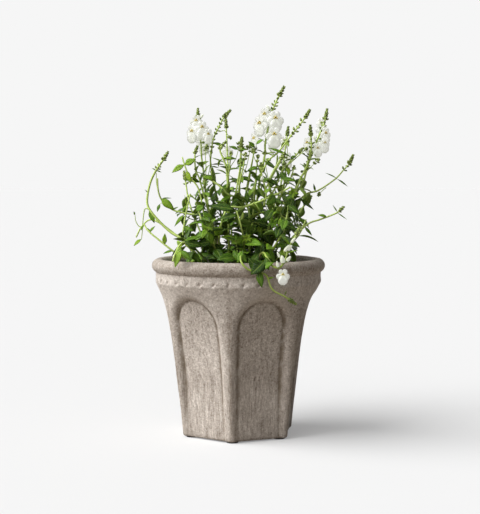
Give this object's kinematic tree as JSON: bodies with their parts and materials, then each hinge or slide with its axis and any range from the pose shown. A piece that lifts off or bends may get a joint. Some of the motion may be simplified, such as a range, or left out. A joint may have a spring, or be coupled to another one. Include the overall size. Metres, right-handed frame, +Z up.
{
  "type": "planter",
  "caption": "Flared cast planter, hexagonal at the foot and round at the rolled rim, with arched sunk panels, on small pads, planted with a white flowering plant.",
  "frame": {"origin": "on the floor, under the middle of the pot", "axes": "+Z up along the pot's axis; one corner of the hexagonal foot points along -Y, the side that is seen"},
  "size_m": [0.3133, 0.2547, 0.4823],
  "materials": {
    "cast_stone": "matt, brushed and speckled",
    "pad_rubber": "matt",
    "screen": "matt",
    "gravel": "rough",
    "soil": "loose crumb",
    "leaf": "soft sheen",
    "petal": "matt"
  },
  "bodies": {
    "planter": {"planter_shell": "cast_stone", "foot_pad_1": "pad_rubber", "foot_pad_2": "pad_rubber", "foot_pad_3": "pad_rubber", "foot_pad_4": "pad_rubber", "foot_pad_5": "pad_rubber", "foot_pad_6": "pad_rubber", "drain_screen": "screen", "gravel_layer": "gravel"},
    "planting": {"potting_soil": "soil", "stem_left_arch": "leaf", "stem_left_middle": "leaf", "stem_left_upright": "leaf", "stem_left_low": "leaf", "stem_left_far": "leaf", "stem_front_left": "leaf", "stem_leaf_pair": "leaf", "stem_flowers_1": "leaf", "stem_bowed": "leaf", "stem_buds_left": "leaf", "stem_middle": "leaf", "stem_middle_bud": "leaf", "stem_crossing": "leaf", "stem_front_bright": "leaf", "stem_flowers_2": "leaf", "stem_buds_right": "leaf", "stem_zigzag": "leaf", "stem_right_middle": "leaf", "stem_flowers_3": "leaf", "stem_buds_far": "leaf", "stem_right_far": "leaf", "stem_right_low": "leaf", "stem_flowers_4": "leaf", "stem_front_trailing": "leaf", "stem_front_1": "leaf", "stem_front_2": "leaf", "stem_front_3": "leaf", "stem_front_4": "leaf", "stem_back_1": "leaf", "stem_back_2": "leaf", "stem_flowers_5": "leaf", "stem_back_3": "leaf", "stem_flowers_6": "leaf", "stem_back_4": "leaf", "stem_back_trailing": "leaf", "spike_flowers_1": "petal", "spike_flowers_2": "petal", "spike_flowers_3": "petal", "spike_flowers_4": "petal", "spike_flowers_5": "petal", "spike_flowers_6": "petal"}
  },
  "joints": [
    {"name": "planting_lift", "type": "slide", "parent": "planter", "child": "planting", "axis": [0, 0, 1], "range_m": [0, 0.22]}
  ]
}
